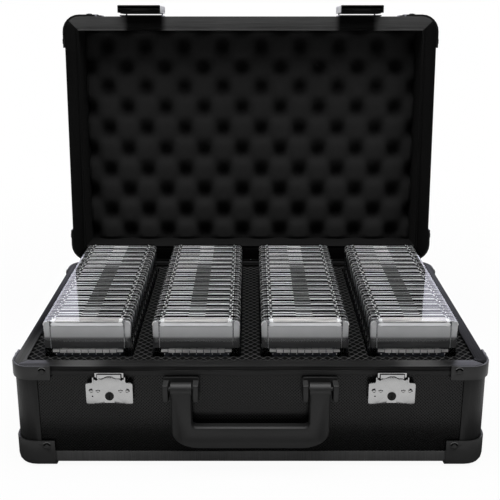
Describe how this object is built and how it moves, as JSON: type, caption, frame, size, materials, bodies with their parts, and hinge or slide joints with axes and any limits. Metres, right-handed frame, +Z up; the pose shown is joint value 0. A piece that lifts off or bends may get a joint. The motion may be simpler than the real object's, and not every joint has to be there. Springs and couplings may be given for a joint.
{
  "type": "graded card storage case",
  "caption": "Open aluminium-framed case with hinged lid, lever latches, key locks, swing handle, egg-crate lid foam and rows of upright clear card slabs.",
  "frame": {"origin": "centre of the bounding box at its base, where the bottom corner caps stand, with the lid open", "axes": "+X across the case's width to the right, +Y from the handle's front to the hinged rear, +Z up"},
  "size_m": [0.4518, 0.409, 0.4184],
  "materials": {
    "frame_aluminium": "satin black anodised",
    "corner_steel": "semi-gloss black",
    "embossed_panel": "embossed black laminate",
    "black_foam": "matte foam",
    "egg_crate_foam": "matte egg-crate foam",
    "nickel": "satin nickel plate",
    "dark_steel": "dark steel",
    "handle_plastic": "matte black",
    "clear_slab": "clear"
  },
  "bodies": {
    "base": {"base_floor_panel": "embossed_panel", "base_front_panel": "embossed_panel", "base_rear_panel": "embossed_panel", "base_left_panel": "embossed_panel", "base_right_panel": "embossed_panel", "base_front_rim": "frame_aluminium", "base_rear_rim": "frame_aluminium", "base_left_rim": "frame_aluminium", "base_right_rim": "frame_aluminium", "base_lower_frame": "frame_aluminium", "base_rear_right_corner_cap": "corner_steel", "base_rear_left_corner_cap": "corner_steel", "base_front_left_corner_cap": "corner_steel", "base_front_right_corner_cap": "corner_steel", "base_rear_right_rim_corner": "corner_steel", "base_rear_left_rim_corner": "corner_steel", "base_front_left_rim_corner": "corner_steel", "base_front_right_rim_corner": "corner_steel", "base_foam": "black_foam", "left_lock_strike": "nickel", "right_lock_strike": "nickel", "left_handle_bracket": "handle_plastic", "right_handle_bracket": "handle_plastic", "left_hinge_base_leaf": "corner_steel", "right_hinge_base_leaf": "corner_steel", "left_hinge_pin": "dark_steel", "right_hinge_pin": "dark_steel"},
    "lid": {"lid_top_panel": "embossed_panel", "lid_front_panel": "embossed_panel", "lid_rear_panel": "embossed_panel", "lid_left_panel": "embossed_panel", "lid_right_panel": "embossed_panel", "lid_front_rim": "frame_aluminium", "lid_rear_rim": "frame_aluminium", "lid_left_rim": "frame_aluminium", "lid_right_rim": "frame_aluminium", "lid_upper_frame": "frame_aluminium", "lid_rear_right_corner_cap": "corner_steel", "lid_rear_left_corner_cap": "corner_steel", "lid_front_left_corner_cap": "corner_steel", "lid_front_right_corner_cap": "corner_steel", "lid_rear_right_rim_corner": "corner_steel", "lid_rear_left_rim_corner": "corner_steel", "lid_front_left_rim_corner": "corner_steel", "lid_front_right_rim_corner": "corner_steel", "lid_lining": "black_foam", "lid_foam": "egg_crate_foam", "left_hinge_lid_leaf": "corner_steel", "right_hinge_lid_leaf": "corner_steel", "left_latch_plate": "nickel", "right_latch_plate": "nickel"},
    "left_lever": {"left_latch_lever": "nickel"},
    "right_lever": {"right_latch_lever": "nickel"},
    "handle": {"carrying_handle": "handle_plastic"},
    "left_key": {"left_key_cylinder": "dark_steel"},
    "right_key": {"right_key_cylinder": "dark_steel"},
    "slabs_1": {"slab_row_1": "clear_slab"},
    "slabs_2": {"slab_row_2": "clear_slab"},
    "slabs_3": {"slab_row_3": "clear_slab"},
    "slabs_4": {"slab_row_4": "clear_slab"}
  },
  "joints": [
    {"name": "lid_hinge", "type": "hinge", "parent": "base", "child": "lid", "pos_m": [0, 0.11031, 0.10485], "axis": [-1, 0, 0], "range_deg": [-94, 0]},
    {"name": "left_lever_pivot", "type": "hinge", "parent": "lid", "child": "left_lever", "pos_m": [-0.13103, 0.17178, 0.4084], "axis": [-1, 0, 0], "range_deg": [0, 90]},
    {"name": "right_lever_pivot", "type": "hinge", "parent": "lid", "child": "right_lever", "pos_m": [0.13103, 0.17178, 0.4084], "axis": [-1, 0, 0], "range_deg": [0, 90]},
    {"name": "handle_swing", "type": "hinge", "parent": "base", "child": "handle", "pos_m": [0, -0.19829, 0.0852], "axis": [-1, 0, 0], "range_deg": [0, 100]},
    {"name": "left_key_turn", "type": "hinge", "parent": "base", "child": "left_key", "pos_m": [-0.13103, -0.19579, 0.0766], "axis": [0, -1, 0], "range_deg": [0, 90]},
    {"name": "right_key_turn", "type": "hinge", "parent": "base", "child": "right_key", "pos_m": [0.13103, -0.19579, 0.0766], "axis": [0, -1, 0], "range_deg": [0, 90]},
    {"name": "slabs_1_lift", "type": "slide", "parent": "base", "child": "slabs_1", "axis": [0, 0, 1], "range_m": [0, 0.1]},
    {"name": "slabs_2_lift", "type": "slide", "parent": "base", "child": "slabs_2", "axis": [0, 0, 1], "range_m": [0, 0.1]},
    {"name": "slabs_3_lift", "type": "slide", "parent": "base", "child": "slabs_3", "axis": [0, 0, 1], "range_m": [0, 0.1]},
    {"name": "slabs_4_lift", "type": "slide", "parent": "base", "child": "slabs_4", "axis": [0, 0, 1], "range_m": [0, 0.1]}
  ]
}
